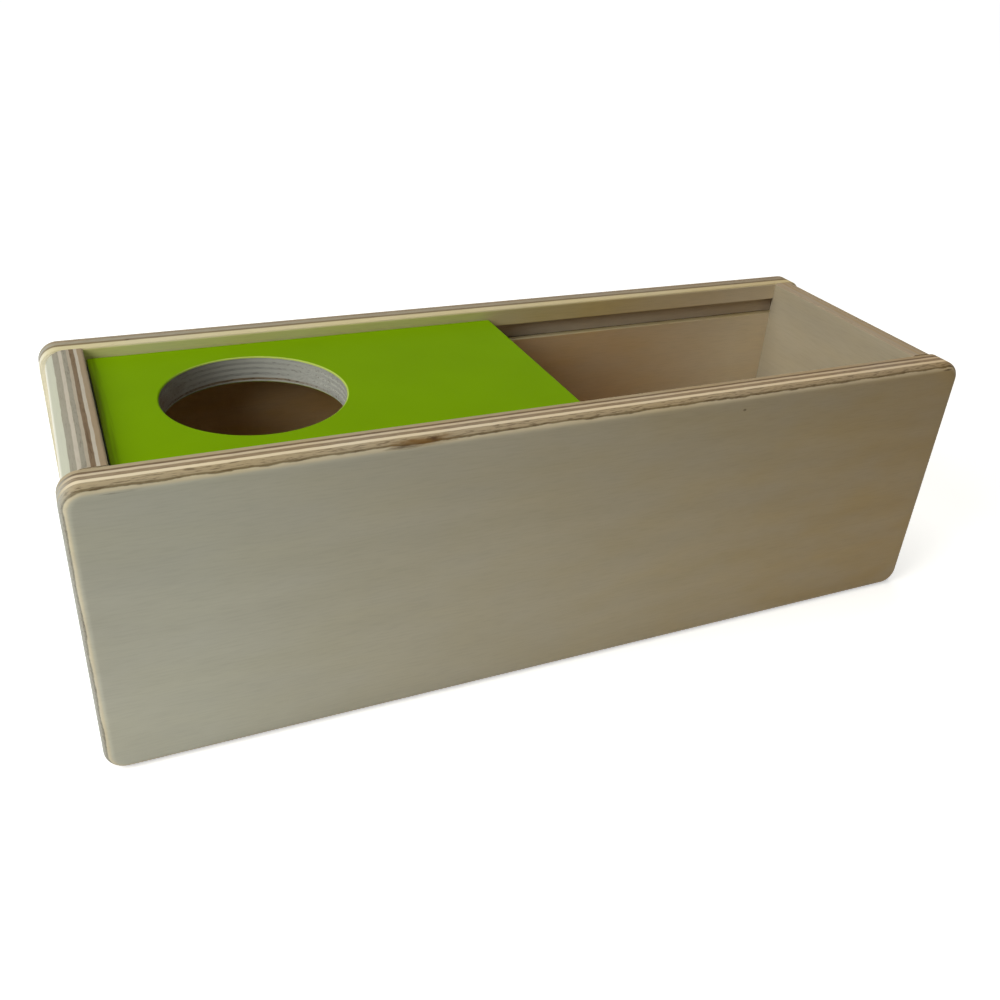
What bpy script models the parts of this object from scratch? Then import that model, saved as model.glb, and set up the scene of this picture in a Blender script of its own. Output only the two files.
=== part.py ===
"""Wooden toy box with a sliding lid: six plywood panels and eight hidden pegs.

X runs along the box, -Y is the front, +Z is up. The origin is the middle of the underside.
All sizes are in metres.
"""
from math import pi, radians

import bmesh
import bpy
from mathutils import Vector

# Overall box
BOX_LENGTH = 0.250
BOX_WIDTH = 0.085
BOX_HEIGHT = 0.0795

# Plywood of the walls
SIDE_THICKNESS = 0.009
END_THICKNESS = 0.010
END_SETBACK = 0.0013

# Rounding of the walls
CORNER_RADIUS = 0.0053
ROUND_OVER = 0.0027
END_ROUNDING = 0.0055
EDGE_EASE = 0.0006

# Floor panel, housed in grooves all round
FLOOR_THICKNESS = 0.005
FLOOR_HEIGHT = 0.005
FLOOR_TONGUE = 0.003

# Sliding lid with a tongue along each long edge
LID_LENGTH = 0.117
LID_THICKNESS = 0.0076
LID_DROP = 0.0029
LID_TONGUE_THICKNESS = 0.0047
LID_TONGUE_REACH = 0.0027
LID_END_GAP = 0.0005
LID_SIDE_GAP = 0.0004
GROOVE_OVERRUN = 0.002

# Round hole in the lid
HOLE_DIAMETER = 0.0468
HOLE_FROM_LID_END = 0.0376
HOLE_EASE = 0.0006

# Blind pegs, two in each corner joint
PEG_DIAMETER = 0.006
PEG_REACH_IN_END = 0.016
PEG_COVER_IN_SIDE = 0.003
PEG_ABOVE_FLOOR = 0.014
PEG_BELOW_LID = 0.013
PEG_CHAMFER = 0.0006

# Clearances, and how far a cutter reaches past what it cuts
GLUE_GAP = 0.0003
RUN_GAP = 0.0003
CUT_MARGIN = 0.004

# Facets of the round shapes
CORNER_SEGMENTS = 8
ROUND_OVER_SEGMENTS = 4
HOLE_SIDES = 72
PEG_SIDES = 20
SHARP_ANGLE = radians(35)

# How close two places, or two directions, are when they count as the same
SAME_PLACE = 0.000001
SAME_DIRECTION = 0.999

# Places that follow from the sizes above
SIDE_INNER_Y = BOX_WIDTH / 2 - SIDE_THICKNESS
END_OUTER_X = BOX_LENGTH / 2 - END_SETBACK
END_INNER_X = END_OUTER_X - END_THICKNESS
END_MIDDLE_X = END_OUTER_X - END_THICKNESS / 2
END_HALF_WIDTH = SIDE_INNER_Y - GLUE_GAP
FLOOR_MIDDLE_Z = FLOOR_HEIGHT + FLOOR_THICKNESS / 2
FLOOR_TOP_Z = FLOOR_HEIGHT + FLOOR_THICKNESS
LID_TOP_Z = BOX_HEIGHT - LID_DROP
LID_BOTTOM_Z = LID_TOP_Z - LID_THICKNESS
LID_TONGUE_TOP_Z = LID_BOTTOM_Z + LID_TONGUE_THICKNESS
LID_START_X = -END_INNER_X + LID_END_GAP
LID_MIDDLE = Vector((LID_START_X + LID_LENGTH / 2, 0.0, (LID_TOP_Z + LID_BOTTOM_Z) / 2))
LID_HALF_WIDTH = SIDE_INNER_Y + LID_TONGUE_REACH
HOLE_X = LID_START_X + HOLE_FROM_LID_END
PEG_REACH_IN_SIDE = SIDE_THICKNESS - PEG_COVER_IN_SIDE
PEG_LENGTH = PEG_REACH_IN_SIDE + PEG_REACH_IN_END
PEG_MIDDLE_Y = SIDE_INNER_Y + (PEG_REACH_IN_SIDE - PEG_REACH_IN_END) / 2
PEG_HEIGHTS = {"lower": FLOOR_TOP_Z + PEG_ABOVE_FLOOR, "upper": LID_BOTTOM_Z - PEG_BELOW_LID}

# Finishes, each a linear colour and a roughness
SIDE_PLY = ((0.56, 0.47, 0.34), 0.6)
END_PLY = ((0.60, 0.51, 0.38), 0.6)
FLOOR_PLY = ((0.50, 0.40, 0.28), 0.65)
GREEN_PAINT = ((0.17, 0.30, 0.006), 0.35)
BEECH = ((0.52, 0.33, 0.19), 0.7)

# Which way each end and side lies, and the turn that lays a round piece along Y
ENDS = {"left": -1, "right": 1}
SIDES = {"front": -1, "back": 1}
ALONG_Y = (pi / 2, 0, 0)


def clear_scene():
    """Remove everything that the open file holds."""
    for old in list(bpy.data.objects):
        bpy.data.objects.remove(old, do_unlink=True)


def new_collection(name):
    """Add a collection to the scene."""
    collection = bpy.data.collections.new(name)
    bpy.context.scene.collection.children.link(collection)
    return collection


def finish(name, colour, roughness):
    """Make a plain coloured finish."""
    material = bpy.data.materials.new(name)
    material.use_nodes = True
    shader = material.node_tree.nodes["Principled BSDF"]
    shader.inputs["Base Color"].default_value = (*colour, 1.0)
    shader.inputs["Roughness"].default_value = roughness
    shader.inputs["Metallic"].default_value = 0.0
    return material


def add_object(name, mesh_builder, place, collection):
    """Turn a bmesh into a named object at its place."""
    mesh = bpy.data.meshes.new(name)
    mesh_builder.to_mesh(mesh)
    mesh_builder.free()
    thing = bpy.data.objects.new(name, mesh)
    thing.location = place
    collection.objects.link(thing)
    return thing


def board(size):
    """Start a rectangular board of the given size, centred on its origin."""
    shape = bmesh.new()
    bmesh.ops.create_cube(shape, size=1.0)
    bmesh.ops.scale(shape, vec=size, verts=shape.verts)
    return shape


def round_edges(shape, chosen, radius, segments):
    """Round the edges that the test picks."""
    edges = [edge for edge in shape.edges if chosen(edge)]
    bmesh.ops.bevel(
        shape, geom=edges, offset=radius, offset_type="OFFSET", segments=segments,
        profile=0.5, affect="EDGES", clamp_overlap=True)


def both_ends_at(edge, axis, value):
    """Tell whether an edge lies in the plane where a coordinate has a value."""
    return all(abs(vertex.co[axis] - value) < SAME_PLACE for vertex in edge.verts)


def runs_along(edge, axis):
    """Tell whether an edge runs along an axis."""
    span = (edge.verts[1].co - edge.verts[0].co).normalized()
    return abs(span[axis]) > SAME_DIRECTION


def cut(thing, cutter):
    """Cut one object with another."""
    modifier = thing.modifiers.new(cutter.name, "BOOLEAN")
    modifier.operation = "DIFFERENCE"
    modifier.solver = "EXACT"
    modifier.object = cutter


def hide_cutter(cutter):
    """Keep a cutter out of the finished model."""
    cutter.hide_render = True
    cutter.display_type = "WIRE"
    return cutter


def box_cutter(name, size, place, cutters):
    """Make a rectangular cutter."""
    return hide_cutter(add_object(name, board(size), place, cutters))


def rod(radius, length):
    """Start a round rod along Z, centred on its origin."""
    shape = bmesh.new()
    bmesh.ops.create_cone(
        shape, cap_ends=True, segments=PEG_SIDES, radius1=radius, radius2=radius, depth=length)
    return shape


def peg_places(end_sign, side_sign):
    """Give the name and place of each peg in one corner joint."""
    for level, height in PEG_HEIGHTS.items():
        yield level, Vector((end_sign * END_MIDDLE_X, side_sign * PEG_MIDDLE_Y, height))


def peg_hole(name, place, cutters):
    """Make the cutter of one peg's hole, which runs on into both walls."""
    shape = rod(PEG_DIAMETER / 2 + GLUE_GAP, PEG_LENGTH + 2 * GLUE_GAP)
    cutter = add_object(name, shape, place, cutters)
    cutter.rotation_euler = ALONG_Y
    return hide_cutter(cutter)


def peg_holes(cutters):
    """Make the cutters of all peg holes, filed by end and side."""
    return {
        (end, side): [
            peg_hole(f"peg_hole_{side}_{end}_{level}", place, cutters)
            for level, place in peg_places(end_sign, side_sign)]
        for end, end_sign in ENDS.items()
        for side, side_sign in SIDES.items()}


def floor_groove(cutters):
    """Make the cutter of the groove that houses the floor."""
    size = (
        2 * (END_INNER_X + FLOOR_TONGUE + GLUE_GAP),
        2 * (SIDE_INNER_Y + FLOOR_TONGUE + GLUE_GAP),
        FLOOR_THICKNESS + 2 * GLUE_GAP)
    return box_cutter("floor_groove", size, (0, 0, FLOOR_MIDDLE_Z), cutters)


def lid_groove(cutters):
    """Make the cutter of the two grooves that the lid slides in."""
    size = (
        2 * (END_INNER_X + GROOVE_OVERRUN),
        2 * (LID_HALF_WIDTH + RUN_GAP),
        LID_TONGUE_THICKNESS + 2 * RUN_GAP)
    middle_z = (LID_BOTTOM_Z + LID_TONGUE_TOP_Z) / 2
    return box_cutter("lid_groove", size, (0, 0, middle_z), cutters)


def side_panel(side, sign, holes, grooves, parts):
    """Make one long wall: rounded corners, rounded outer edge and two grooves."""
    shape = board((BOX_LENGTH, SIDE_THICKNESS, BOX_HEIGHT))
    outer = sign * SIDE_THICKNESS / 2
    round_edges(shape, lambda edge: runs_along(edge, 1), CORNER_RADIUS, CORNER_SEGMENTS)
    round_edges(
        shape, lambda edge: both_ends_at(edge, 1, outer), ROUND_OVER, ROUND_OVER_SEGMENTS)
    round_edges(shape, lambda edge: both_ends_at(edge, 1, -outer), EDGE_EASE, 1)
    place = (0, sign * (BOX_WIDTH / 2 - SIDE_THICKNESS / 2), BOX_HEIGHT / 2)
    panel = add_object(f"{side}_side_panel", shape, place, parts)
    for cutter in grooves:
        cut(panel, cutter)
    for end in ENDS:
        for cutter in holes[end, side]:
            cut(panel, cutter)
    return panel


def end_panel(end, sign, holes, groove, parts):
    """Make one short wall that stands between the long ones."""
    shape = board((END_THICKNESS, 2 * END_HALF_WIDTH, BOX_HEIGHT))
    outer = sign * END_THICKNESS / 2

    def top_or_bottom(edge, x):
        return runs_along(edge, 1) and both_ends_at(edge, 0, x)

    round_edges(shape, lambda edge: top_or_bottom(edge, outer), END_ROUNDING, CORNER_SEGMENTS)
    round_edges(shape, lambda edge: top_or_bottom(edge, -outer), EDGE_EASE, 1)
    place = (sign * END_MIDDLE_X, 0, BOX_HEIGHT / 2)
    panel = add_object(f"{end}_end_panel", shape, place, parts)
    cut(panel, groove)
    for side in SIDES:
        for cutter in holes[end, side]:
            cut(panel, cutter)
    return panel


def floor_panel(parts):
    """Make the floor, which reaches into the grooves of all four walls."""
    size = (
        2 * (END_INNER_X + FLOOR_TONGUE), 2 * (SIDE_INNER_Y + FLOOR_TONGUE), FLOOR_THICKNESS)
    shape = board(size)
    round_edges(shape, lambda edge: True, EDGE_EASE, 1)
    return add_object("floor_panel", shape, (0, 0, FLOOR_MIDDLE_Z), parts)


def sliding_lid(parts, cutters):
    """Make the lid: a board with both long edges rabbeted and a round hole."""
    shape = board((LID_LENGTH, 2 * LID_HALF_WIDTH, LID_THICKNESS))
    round_edges(shape, lambda edge: runs_along(edge, 2), EDGE_EASE, 1)
    lid = add_object("sliding_lid", shape, LID_MIDDLE, parts)
    body_half_width = SIDE_INNER_Y - LID_SIDE_GAP
    rabbet_width = LID_HALF_WIDTH - body_half_width
    rabbet_depth = LID_TOP_Z - LID_TONGUE_TOP_Z
    for side, sign in SIDES.items():
        size = (
            LID_LENGTH + 2 * CUT_MARGIN, rabbet_width + CUT_MARGIN, rabbet_depth + CUT_MARGIN)
        place = (
            LID_MIDDLE.x, sign * (body_half_width + size[1] / 2), LID_TONGUE_TOP_Z + size[2] / 2)
        cut(lid, box_cutter(f"lid_rabbet_{side}", size, place, cutters))
    cut(lid, hole_cutter(Vector((HOLE_X, 0, LID_MIDDLE.z)), cutters))
    return lid


def hole_cutter(place, cutters):
    """Make the cutter of the lid's hole, flared at both ends to ease its rims."""
    radius = HOLE_DIAMETER / 2
    straight = LID_THICKNESS / 2 - HOLE_EASE
    reach = LID_THICKNESS / 2 + CUT_MARGIN
    flare = radius + reach - straight
    profile = (
        (0, -reach), (flare, -reach), (radius, -straight),
        (radius, straight), (flare, reach), (0, reach))
    shape = bmesh.new()
    corners = [shape.verts.new((x, 0, z)) for x, z in profile]
    outline = [shape.edges.new(pair) for pair in zip(corners, corners[1:])]
    bmesh.ops.spin(
        shape, geom=corners + outline, cent=(0, 0, 0), axis=(0, 0, 1), angle=2 * pi,
        steps=HOLE_SIDES)
    bmesh.ops.remove_doubles(shape, verts=shape.verts, dist=SAME_PLACE)
    bmesh.ops.recalc_face_normals(shape, faces=shape.faces)
    return hide_cutter(add_object("lid_hole", shape, place, cutters))


def peg(name, place, parts):
    """Make one chamfered peg lying along Y."""
    shape = rod(PEG_DIAMETER / 2, PEG_LENGTH)
    half = PEG_LENGTH / 2
    round_edges(
        shape, lambda edge: both_ends_at(edge, 2, half) or both_ends_at(edge, 2, -half),
        PEG_CHAMFER, 1)
    thing = add_object(name, shape, place, parts)
    thing.rotation_euler = ALONG_Y
    return thing


def main():
    """Build the whole box."""
    clear_scene()
    parts = new_collection("sliding_top_box")
    cutters = new_collection("cutters")
    frame = bpy.data.objects.new("box_frame", None)
    parts.objects.link(frame)

    holes = peg_holes(cutters)
    groove_for_floor = floor_groove(cutters)
    grooves = (groove_for_floor, lid_groove(cutters))

    made = []
    for side, sign in SIDES.items():
        made.append((side_panel(side, sign, holes, grooves, parts), SIDE_PLY))
    for end, sign in ENDS.items():
        made.append((end_panel(end, sign, holes, groove_for_floor, parts), END_PLY))
    made.append((floor_panel(parts), FLOOR_PLY))
    made.append((sliding_lid(parts, cutters), GREEN_PAINT))
    for end, end_sign in ENDS.items():
        for side, side_sign in SIDES.items():
            for level, place in peg_places(end_sign, side_sign):
                made.append((peg(f"{level}_peg_{side}_{end}", place, parts), BEECH))

    for thing, (colour, roughness) in made:
        thing.data.shade_smooth()
        thing.data.set_sharp_from_angle(angle=SHARP_ANGLE)
        thing.data.materials.append(finish(f"{thing.name}_finish", colour, roughness))
        thing.parent = frame


if __name__ == "__main__":
    main()
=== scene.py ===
"""Looks of a wooden toy box with a sliding green lid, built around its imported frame.

The walls, the floor and the lid are modelled again with fine rounded edges and dressed as
plywood whose layers run right through the solid. The pegs keep their frame shape.
Sizes are in metres. Textures are laid out in millimetres, in each board's own directions.
"""
from math import radians

import bmesh
import bpy
from bpy.props import FloatProperty, FloatVectorProperty, IntProperty, PointerProperty
from mathutils import Matrix, Quaternion, Vector


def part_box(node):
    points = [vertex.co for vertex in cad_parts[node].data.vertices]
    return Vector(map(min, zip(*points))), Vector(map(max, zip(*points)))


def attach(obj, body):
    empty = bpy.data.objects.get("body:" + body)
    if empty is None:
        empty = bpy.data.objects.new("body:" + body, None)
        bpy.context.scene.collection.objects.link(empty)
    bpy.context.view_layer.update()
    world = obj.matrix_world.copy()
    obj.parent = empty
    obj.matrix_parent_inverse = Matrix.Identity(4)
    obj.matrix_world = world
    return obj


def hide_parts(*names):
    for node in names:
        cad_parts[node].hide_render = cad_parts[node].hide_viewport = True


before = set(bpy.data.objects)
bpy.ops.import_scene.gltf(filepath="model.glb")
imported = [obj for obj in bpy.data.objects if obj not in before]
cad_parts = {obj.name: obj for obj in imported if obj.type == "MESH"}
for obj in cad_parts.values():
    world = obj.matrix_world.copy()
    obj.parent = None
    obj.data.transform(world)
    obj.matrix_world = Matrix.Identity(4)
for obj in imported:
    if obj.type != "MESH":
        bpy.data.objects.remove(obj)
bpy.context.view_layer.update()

bl_info = {
    "name": "Sliding top toy box",
    "version": (1, 0, 0),
    "blender": (4, 5, 0),
    "location": "View3D > Sidebar > Toy Box",
    "description": "Builds the plywood walls, the sliding green lid and a plain studio",
    "category": "Object",
}

# Places read from the frame
FRONT_LOW, FRONT_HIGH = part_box("front_side_panel")
LEFT_LOW, LEFT_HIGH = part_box("left_end_panel")
FLOOR_LOW, FLOOR_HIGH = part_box("floor_panel")
LID_LOW, LID_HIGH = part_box("sliding_lid")
SIDE_INNER_Y = -FRONT_HIGH.y
SIDE_OUTER_Y = -FRONT_LOW.y
END_INNER_X = -LEFT_HIGH.x
END_OUTER_X = -LEFT_LOW.x
PEGS = [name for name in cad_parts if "_peg_" in name]

# Directions
AXES = {"x": Vector((1, 0, 0)), "y": Vector((0, 1, 0)), "z": Vector((0, 0, 1))}
SIDES = {"front": -1, "back": 1}
ENDS = {"left": -1, "right": 1}

# Shading, selection and cutting
SMOOTH_ANGLE = radians(40)
SQUARE_EDGE = radians(60)
SAME_PLACE = 0.00001
FACES_SIDE = 0.9
CUT_MARGIN = 0.004
PEG_HOLE_SIDES = 32
UPRIGHT = (0, 0, 0)
LAY_ALONG_Y = (radians(90), 0, 0)
MM_PER_M = 1000.0

# Sockets of the Mix node: its factor, then in its number form, then in its colour form
MIX_FACTOR = 0
MIX_LOW = 2
MIX_HIGH = 3
MIX_A = 6
MIX_B = 7
MIX_RESULT = 2

# Sockets of the Map Range node
FROM_LOW = 1
FROM_HIGH = 2
TO_LOW = 3
TO_HIGH = 4

# Places in a layer's looks: how it is cut, and where the open grain of the first cut stands
ALONG = 0
ACROSS = 1
OPEN_GRAIN = 2

# Plywood layers from the outer face inwards: thickness in mm, tones on an edge that runs along
# the face grain and on one that crosses it, and how open the grain is on each
FRONT_LAYERS = (
    (0.62, "honey", "veneer", 0.0, 0.0),
    (0.38, "glue", "slate", 0.7, 0.2),
    (1.75, "tan", "slate", 0.8, 0.2),
    (1.25, "cream", "grey", 0.0, 0.0),
    (1.45, "brown", "slate", 0.5, 0.1),
    (1.00, "light", "grey", 0.1, 0.0),
    (0.85, "dark", "slate", 0.5, 0.1),
    (1.70, "tan", "grey", 0.1, 0.0),
)
BACK_LAYERS = (
    (0.62, "honey", "veneer", 0.0, 0.0),
    (0.38, "glue", "slate", 0.6, 0.2),
    (1.80, "grey", "slate", 0.4, 0.1),
    (0.70, "brown", "grey", 0.3, 0.1),
    (1.70, "grey", "slate", 0.3, 0.1),
    (1.20, "glue", "grey", 0.4, 0.1),
    (2.60, "straw", "birch", 0.0, 0.0),
)
LEFT_LAYERS = (
    (2.30, "sand", "tan", 0.0, 0.0),
    (1.45, "smoke", "light", 0.2, 0.1),
    (0.90, "chalk", "tan", 0.1, 0.0),
    (1.10, "smoke", "light", 0.4, 0.1),
    (0.75, "dove", "tan", 0.1, 0.0),
    (1.10, "dark", "light", 0.5, 0.1),
    (0.80, "chalk", "tan", 0.1, 0.0),
    (1.60, "brown", "grey", 0.1, 0.0),
)
RIGHT_LAYERS = (
    (2.30, "dove", "tan", 0.0, 0.0),
    (1.45, "tan", "tan", 0.2, 0.1),
    (0.90, "dove", "tan", 0.0, 0.0),
    (1.10, "tan", "tan", 0.3, 0.1),
    (0.75, "dove", "tan", 0.0, 0.0),
    (1.10, "tan", "tan", 0.3, 0.1),
    (2.40, "dove", "tan", 0.0, 0.0),
)
LID_LAYERS = (
    (0.80, "slate", "slate", 0.1, 0.4),
    (0.75, "ash", "slate", 0.0, 0.4),
    (0.65, "slate", "ash", 0.3, 0.7),
    (0.85, "ash", "slate", 0.0, 0.4),
    (0.70, "slate", "ash", 0.3, 0.7),
    (0.85, "ash", "slate", 0.0, 0.4),
    (0.75, "slate", "ash", 0.4, 0.7),
    (0.80, "ash", "slate", 0.1, 0.4),
    (0.65, "brown", "slate", 0.9, 0.9),
    (0.80, "ash", "slate", 0.2, 0.5),
)
FLOOR_LAYERS = (
    (1.00, "rosy", "brown", 0.0, 0.0),
    (1.50, "tan", "light", 0.5, 0.1),
    (1.50, "light", "dark", 0.2, 0.1),
    (1.00, "rosy", "brown", 0.0, 0.0),
)

# How layers meet, in mm: blurred, waving, and frayed most just under the face veneer
LAYER_BLUR_MM = 0.07
WAVE_MM = 0.22
WAVE_SIZE_MM = (34, 34, 300)
RAG_MM = 0.16
RAG_SIZE_MM = (5, 5, 2)
TORN_MM = 0.40
TORN_FROM_MM = 0.4
TORN_TO_MM = 2.2

# How square a surface stands to a board's depth: an edge up to the first, a face from the second
EDGE_BELOW = 0.88
FACE_ABOVE = 0.97

# Tones of a board's outer face at the left and the right, then of its inner face at the left,
# in the middle, at the ends, and over the lid. On the long walls they carry painted light: the
# outer face cool at the left and warm at the right, and inside painted shade at the left, painted
# bounce light at the ends and a painted green reflection of the lid over the lid
LONG_FACES = ("face", "warm_lit_face", "amber_painted_shade", "inside", "pale", "painted_lid_reflection")
SHORT_FACES = ("birch", "birch", "oat", "oat", "oat", "oat")
LID_FACES = ("ash",) * 6
FLOOR_FACES = ("rosy",) * 6

# Where painted light drifts from cool at the left to warm at the right, and where an inner face
# changes its tone between painted shade and painted bounce light, with the share that the painted
# reflection over the lid has at each place
WARM_LIGHT_FROM_X = -0.100
WARM_LIGHT_TO_X = 0.125
INNER_STOPS_X = (-0.122, -0.116, 0.000, 0.050, 0.100)
LID_REFLECTION_SHARES = (0.0, 1.0, 1.0, 0.5, 0.0)

# Heights between which a long wall's outer face goes from painted bounce light from the floor
# below to painted shade above, and by how much
BOUNCE_BELOW_Z = 0.010
SHADE_ABOVE_Z = 0.075
PAINTED_BOUNCE_GAIN = 0.09
PAINTED_SHADE_LOSS = 0.07

# What lies this far under an inner face is the bottom of a groove
GROOVE_MM = 1.5

# Sizes of the wood's figure in mm, along, across and through a board. Real birch fibres and
# beech rays are too fine to show, so they are drawn as coarse as they need to show
FIGURE_MM = (45, 7, 5)
CLOUD_MM = (26, 10, 9)
FIBRE_MM = (6, 0.5, 0.45)
FLECK_MM = (2.6, 0.7, 0.3)
RAY_MM = (3.0, 0.35, 0.35)

# The same for the paint: its chips, its clouds, and a roller's stipple, drawn coarser than life
CHIP_MM = (1.2, 1.2, 0.6)
PAINT_CLOUD_MM = (22, 22, 22)
ROLLER_MM = (0.9, 0.9, 0.9)

# Most of a noise lies in this range
NOISE_RANGE = {FROM_LOW: 0.3, FROM_HIGH: 0.7}

# Paint in mm: how far it reaches down a cut edge, how softly it ends and how deep chips go, then
# the rim of the hole that is worn thin on one side and carries a painted highlight there
PAINT_DEPTH_MM = 0.3
PAINT_FADE_MM = 0.12
CHIP_DEPTH_MM = 0.3
WORN_FULL_MM = 0.30
WORN_ENDS_MM = 0.45
WORN_LIT_SIDE = Vector((0.8, -0.6, 0.0))

# Marks on the wood and the paint: place in m, half size in mm, tone and strength
FRONT_MARKS = (
    ((0.0467, -0.0425, 0.0748), (0.7, 1.0, 0.45), "scorch", 0.75),
    ((-0.0455, -0.0415, 0.0789), (10.0, 1.5, 1.5), "stain_and_painted_shade", 0.85),
    ((-0.0425, -0.0412, 0.0792), (2.2, 1.0, 1.0), "scorch", 0.80),
    ((-0.0500, -0.0419, 0.0782), (6.0, 0.6, 0.6), "scorch", 0.75),
    ((-0.1130, -0.0421, 0.0774), (8.0, 0.4, 0.5), "scorch", 0.70),
    ((0.1194, -0.0422, 0.0779), (2.2, 0.5, 0.35), "scorch", 0.85),
)
LEFT_MARKS = (
    ((-0.1167, -0.0190, 0.0795), (0.45, 9.0, 1.0), "scorch", 0.5),
)
BACK_MARKS = (
    ((-0.1021, 0.0365, 0.0795), (0.9, 0.5, 0.5), "scorch", 0.8),
)
# Painted shade with brown reflected light on the left side of the hole's wall
HOLE_PAINTED_SHADE = (
    ((-0.0985, 0.0040, 0.0730), (13.0, 20.0, 12.0), "stain_and_painted_shade", 0.6),
)
# Painted shadow of the left wall on the lid's left end
LID_PAINTED_SHADOW = (
    ((-0.1134, 0.0, 0.0766), (2.6, 80.0, 3.0), "painted_shadow_olive", 0.8),
)

# Edge of a mark in half sizes: where it is full and where it ends, and how ragged it is
MARK_FULL = 0.9
MARK_ENDS = 1.7
MARK_RAG = 1.4
MARK_RAG_SIZE = (0.45, 0.45, 0.3)

# White of the backdrop, and distances at which the mat under the box fades into the pale floor
WHITE = (1.0, 1.0, 1.0)
MAT_FADES_FROM = 0.25
MAT_FADES_TO = 0.55

# Square soft lamps: place and width
LAMPS = {
    "window": ((-1.30, -0.10, 0.90), 1.00),
    "ceiling": ((0.00, 0.10, 1.10), 1.00),
    "card": ((-0.45, -0.20, 0.30), 0.25),
}

# Camera of the photograph
CAMERA_PLACE = Vector((-0.11979, -0.23722, 0.18787))
CAMERA_AIM = Vector((-0.01008, -0.01283, 0.0400))
CAMERA_ROLL = radians(4.23)
CAMERA_LENS_MM = 36.2
CAMERA_SENSOR_MM = 36.0
CAMERA_NEAR = 0.01


def linear(hex_colour):
    """Turn an sRGB hex colour into linear red, green and blue."""
    channels = [int(hex_colour[i:i + 2], 16) / 255 for i in (1, 3, 5)]
    return tuple(c / 12.92 if c <= 0.04045 else ((c + 0.055) / 1.055) ** 2.4 for c in channels)


def length(name, description, default):
    """Declare a length in metres."""
    return FloatProperty(
        name=name, description=description, default=default, min=0.0, precision=4,
        unit="LENGTH", subtype="DISTANCE")


def colour(name, description, default):
    """Declare a colour given as an sRGB hex value."""
    return FloatVectorProperty(
        name=name, description=description, default=linear(default), size=3, min=0.0, max=1.0,
        subtype="COLOR")


def count(name, description, default):
    """Declare a number of facets."""
    return IntProperty(name=name, description=description, default=default, min=1)


def power(name, description, default):
    return FloatProperty(
        name=name, description=description, default=default, min=0.0, unit="POWER")


def share(name, description, default):
    """Declare a share of full strength."""
    return FloatProperty(
        name=name, description=description, default=default, min=0.0, max=1.0, subtype="FACTOR")


class ToyBoxSizes(bpy.types.PropertyGroup):
    """Sizes of the rounded edges, the grooves and the lid."""

    corner_radius: length("Corner radius", "Rounding of a long wall's four corners", 0.0053)
    round_over: length("Round-over", "Rounding along a long wall's outer edge", 0.0027)
    end_rounding: length("End rounding", "Rounding along a short wall's outer edges", 0.0055)
    edge_ease: length("Edge ease", "Small rounding of the inner edges", 0.0006)
    groove_ease: length("Groove ease", "Small rounding of a groove's lips", 0.0002)
    glue_gap: length("Glue gap", "Room round the floor and the pegs", 0.0003)
    run_gap: length("Running gap", "Room between the lid's tongue and its groove", 0.0003)
    groove_overrun: length("Groove overrun", "How far the groove runs past a short wall", 0.002)
    tongue_thickness: length("Tongue thickness", "Thickness of the lid's tongue", 0.0047)
    lid_side_gap: length("Lid side gap", "Room between the lid and the long walls", 0.0004)
    lid_ease: length("Lid ease", "Small rounding of the lid's edges", 0.0003)
    hole_diameter: length("Hole diameter", "Width of the lid's round hole", 0.0468)
    hole_from_end: length("Hole from end", "From the lid's left end to the hole's middle", 0.0376)
    hole_ease: length("Hole ease", "Rounding of the hole's rims", 0.0005)
    hole_sides: count("Hole sides", "Facets round the hole", 256)
    round_steps: count("Round steps", "Facets of a large rounding", 16)
    ease_steps: count("Ease steps", "Facets of a small rounding", 4)
    lip_steps: count("Lip steps", "Facets of the rounding of a groove's lips", 2)


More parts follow.
